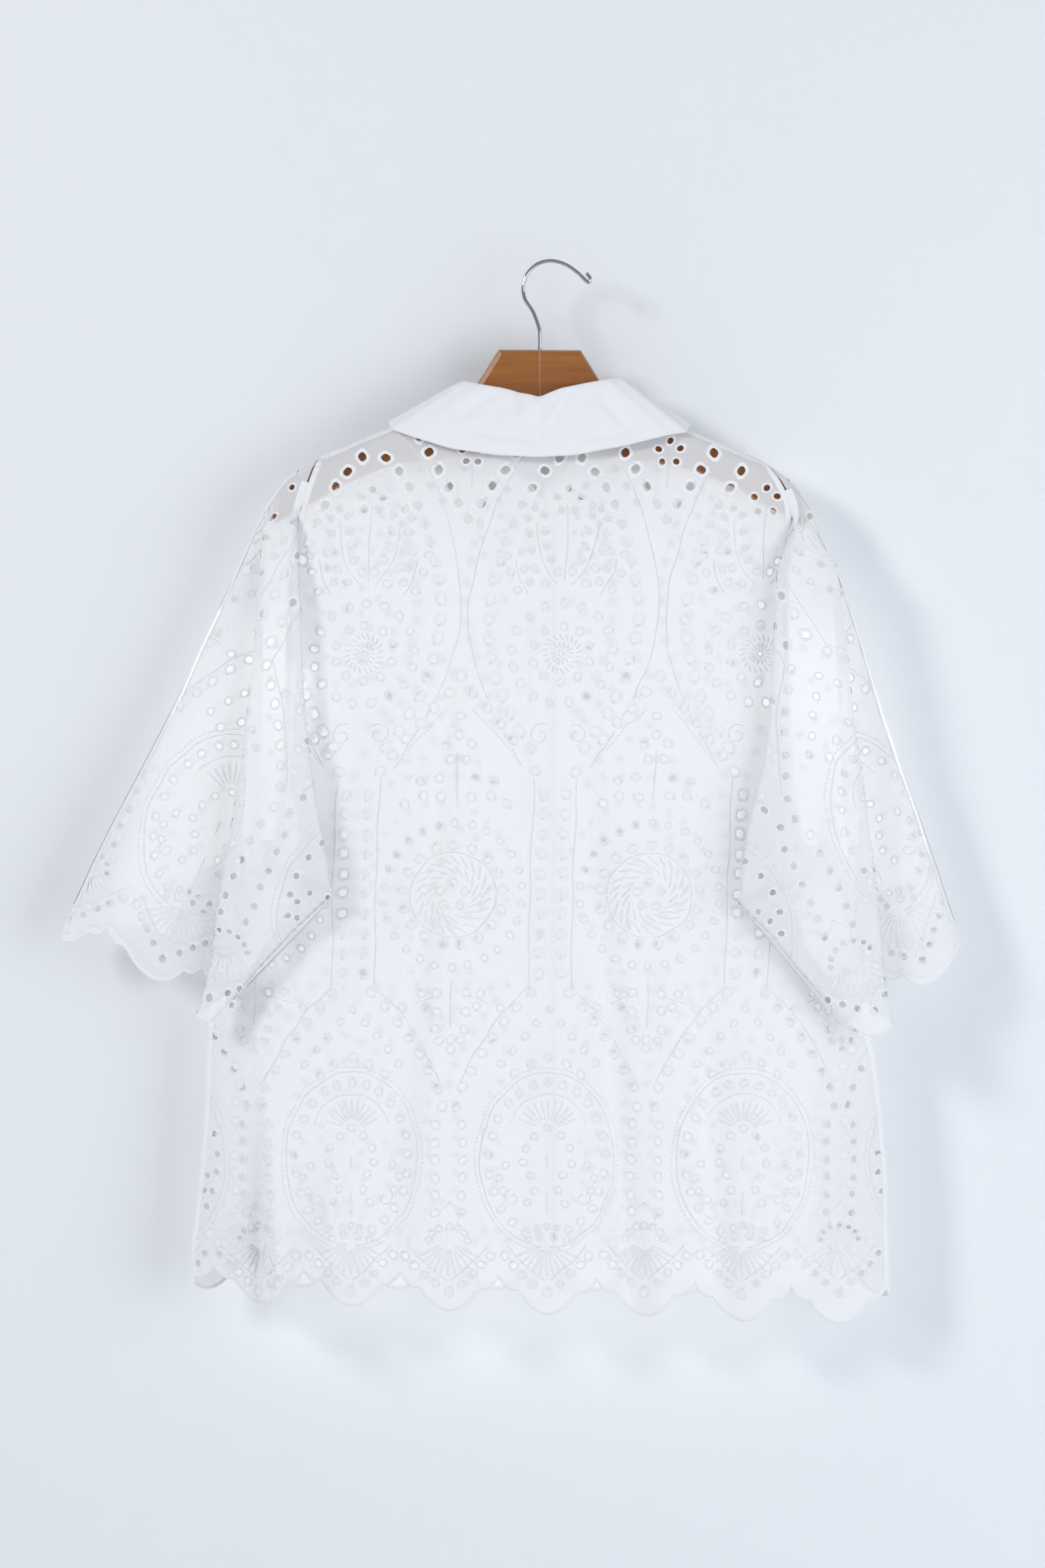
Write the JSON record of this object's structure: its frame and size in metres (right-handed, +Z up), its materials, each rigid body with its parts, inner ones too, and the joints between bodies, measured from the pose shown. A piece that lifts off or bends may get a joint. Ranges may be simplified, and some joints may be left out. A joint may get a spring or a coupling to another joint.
{
  "type": "embroidered blouse",
  "caption": "White eyelet-embroidered cotton blouse with a plain collar and scalloped hems, hanging from a flat wooden hanger with a wire hook.",
  "frame": {"origin": "The inside of the hook's top, where the hook bears on the rail or nail that holds it.", "axes": "+Z is up. The back of the blouse faces -Y and its front +Y. The wearer's left sleeve is at -X and the right one at +X."},
  "size_m": [0.7436, 0.0767, 0.8811],
  "materials": {
    "eyelet_cotton": "matt woven cotton lawn with cut eyelets and satin stitch",
    "plain_cotton": "matt plain woven cotton",
    "lacquered_wood": "satin clear lacquer",
    "chrome": "polished plated wire",
    "button_pearl": "smooth white"
  },
  "bodies": {
    "root": {"back_panel": "eyelet_cotton", "front_left": "eyelet_cotton", "front_right": "eyelet_cotton", "sleeve_left_back": "eyelet_cotton", "sleeve_left_front": "eyelet_cotton", "sleeve_right_back": "eyelet_cotton", "sleeve_right_front": "eyelet_cotton", "collar": "plain_cotton", "hanger_arm_left": "lacquered_wood", "hanger_arm_right": "lacquered_wood", "hanger_hook": "chrome", "button_1": "button_pearl", "button_2": "button_pearl", "button_3": "button_pearl", "button_4": "button_pearl", "button_5": "button_pearl"}
  },
  "joints": []
}
